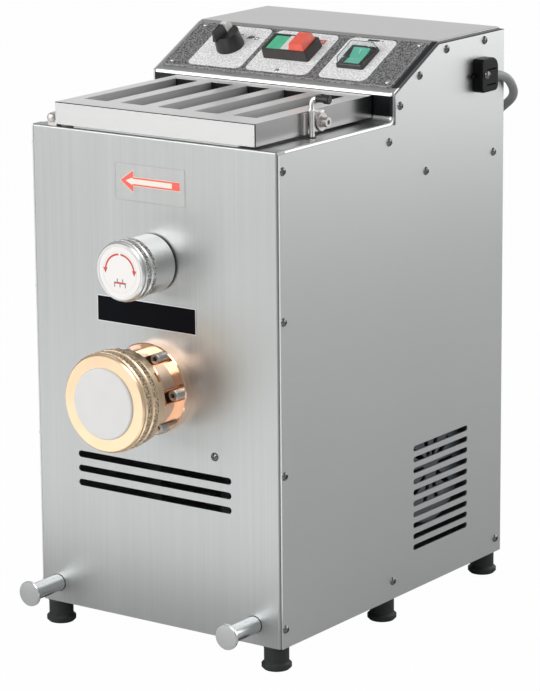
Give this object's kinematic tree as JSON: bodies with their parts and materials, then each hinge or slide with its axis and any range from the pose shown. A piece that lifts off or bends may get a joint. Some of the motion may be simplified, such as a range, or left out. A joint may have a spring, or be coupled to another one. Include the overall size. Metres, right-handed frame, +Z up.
{
  "type": "electric pasta maker",
  "caption": "Bench-top stainless steel machine that kneads dough with a paddle under a slotted guard lid and presses it out through a front die.",
  "frame": {"origin": "middle of the bounding box without the mains lead, on the surface that the feet stand on", "axes": "+Z up; the front panel with its knob and ring nut faces -Y; the cord housing is on the +X side"},
  "size_m": [0.2748, 0.5706, 0.5149],
  "materials": {
    "satin_steel": "satin stainless steel, brushed upright on the front",
    "polished_steel": "polished stainless steel",
    "bright_fasteners": "bright steel screws",
    "dark_fasteners": "oiled steel cap screws",
    "frame_steel": "plain sheet and plate steel",
    "gear_steel": "machined steel",
    "bronze": "polished bronze",
    "brass": "turned pale brass",
    "aluminium": "turned and knurled aluminium",
    "white_plastic": "smooth white",
    "black_plastic": "satin black",
    "grey_plastic": "grey, smooth",
    "green_plastic": "glossy green",
    "red_plastic": "glossy red",
    "clear_cover": "clear moulded splash cover",
    "hammered_plate": "dark hammer-finish plate with pale fields",
    "black_rubber": "satin black rubber",
    "cord_sheath": "grey flexible sheath",
    "motor_paint": "dark grey enamel"
  },
  "bodies": {
    "casing": {"barrel_flange": "bronze", "base_plate": "frame_steel", "bearing_plate": "frame_steel", "casing_screws": "bright_fasteners", "contact_block": "black_plastic", "control_overlay": "hammered_plate", "cord_coil": "cord_sheath", "cord_gland": "black_plastic", "extrusion_barrel": "satin_steel", "fan_cowl": "motor_paint", "flange_screws": "dark_fasteners", "frame_uprights": "frame_steel", "front_panel": "satin_steel", "front_posts": "polished_steel", "gearbox_housing": "motor_paint", "hinge_brackets": "polished_steel", "hinge_screws": "bright_fasteners", "interlock_switch": "black_plastic", "latch_bushing": "black_plastic", "mains_plug": "black_plastic", "mixing_tank": "satin_steel", "motor_housing": "motor_paint", "overlay_screws": "bright_fasteners", "power_cord": "cord_sheath", "rear_panel": "satin_steel", "rocker_bezel": "black_plastic", "rocker_cover": "clear_cover", "rubber_feet": "black_rubber", "run_capacitor": "black_plastic", "selector_switch": "black_plastic", "shaft_bearings": "gear_steel", "shaft_seals": "grey_plastic", "side_panel_left": "satin_steel", "side_panel_right": "satin_steel", "start_stop_housing": "black_plastic", "terminal_block": "black_plastic", "top_cover": "satin_steel"},
    "auger": {"auger_screw": "polished_steel", "auger_gear": "gear_steel"},
    "paddle": {"mixing_paddle": "polished_steel", "paddle_gear": "gear_steel"},
    "pinion": {"drive_pinion": "gear_steel"},
    "fan": {"motor_fan": "black_plastic"},
    "knob_carriage": {"knob_washer": "black_plastic"},
    "knob": {"paddle_knob": "aluminium"},
    "die": {"die_insert": "white_plastic"},
    "nut": {"ring_nut": "brass"},
    "lid": {"lid_guard": "satin_steel", "catch_disc": "polished_steel", "catch_screw": "bright_fasteners", "interlock_block": "black_plastic"},
    "latch": {"latch_rod": "polished_steel", "latch_sleeve": "grey_plastic", "latch_cap": "black_plastic"},
    "selector": {"selector_knob": "black_plastic", "selector_pointer": "white_plastic"},
    "start": {"start_button": "green_plastic"},
    "stop": {"stop_button": "red_plastic"},
    "power_rocker": {"rocker": "green_plastic"}
  },
  "joints": [
    {"name": "auger_spin", "type": "hinge", "parent": "casing", "child": "auger", "pos_m": [-0.005, -0.1398, 0.2323], "axis": [0, -1, 0], "continuous": true},
    {"name": "paddle_spin", "type": "hinge", "parent": "casing", "child": "paddle", "pos_m": [-0.005, -0.1398, 0.3403], "axis": [0, -1, 0], "continuous": true},
    {"name": "pinion_spin", "type": "hinge", "parent": "casing", "child": "pinion", "pos_m": [-0.057, -0.1398, 0.1825], "axis": [0, -1, 0], "continuous": true},
    {"name": "fan_spin", "type": "hinge", "parent": "casing", "child": "fan", "pos_m": [0.0845, 0.1077, 0.1225], "axis": [1, 0, 0], "continuous": true},
    {"name": "knob_travel", "type": "slide", "parent": "casing", "child": "knob_carriage", "axis": [0, -1, 0], "range_m": [0, 0.018]},
    {"name": "knob_turn", "type": "hinge", "parent": "knob_carriage", "child": "knob", "pos_m": [-0.005, -0.1398, 0.3403], "axis": [0, -1, 0], "range_deg": [0, 2160]},
    {"name": "die_travel", "type": "slide", "parent": "casing", "child": "die", "axis": [0, -1, 0], "range_m": [0, 0.022]},
    {"name": "nut_turn", "type": "hinge", "parent": "die", "child": "nut", "pos_m": [-0.005, -0.1398, 0.2323], "axis": [0, -1, 0], "range_deg": [0, 1980]},
    {"name": "lid_hinge", "type": "hinge", "parent": "casing", "child": "lid", "pos_m": [-0.1117, -0.1398, 0.4542], "axis": [0, -1, 0], "range_deg": [0, 100]},
    {"name": "latch_turn", "type": "hinge", "parent": "casing", "child": "latch", "pos_m": [0.1085, -0.0678, 0.447], "axis": [0, 0, 1], "range_deg": [0, 90]},
    {"name": "selector_turn", "type": "hinge", "parent": "casing", "child": "selector", "pos_m": [-0.074, 0.06913, 0.49072], "axis": [0, -0.4522, 0.8919], "range_deg": [-90, 0]},
    {"name": "start_press", "type": "slide", "parent": "casing", "child": "start", "axis": [0, 0.4522, -0.8919], "range_m": [0, 0.003], "stiffness_N_per_m": 500, "springref_m": -0.002},
    {"name": "stop_press", "type": "slide", "parent": "casing", "child": "stop", "axis": [0, 0.4522, -0.8919], "range_m": [0, 0.003], "stiffness_N_per_m": 500, "springref_m": -0.002},
    {"name": "rocker_tilt", "type": "hinge", "parent": "casing", "child": "power_rocker", "pos_m": [0.0632, 0.06921, 0.49077], "axis": [-1, 0, 0], "range_deg": [0, 14]}
  ],
  "couplings": [
    {"joint": "paddle_spin", "follows": "auger_spin", "ratio": -0.8},
    {"joint": "pinion_spin", "follows": "auger_spin", "ratio": -2},
    {"joint": "fan_spin", "follows": "auger_spin", "ratio": 20},
    {"joint": "knob_travel", "follows": "knob_turn", "m_per_rad": 0.00047746},
    {"joint": "die_travel", "follows": "nut_turn", "m_per_rad": 0.00063662}
  ]
}
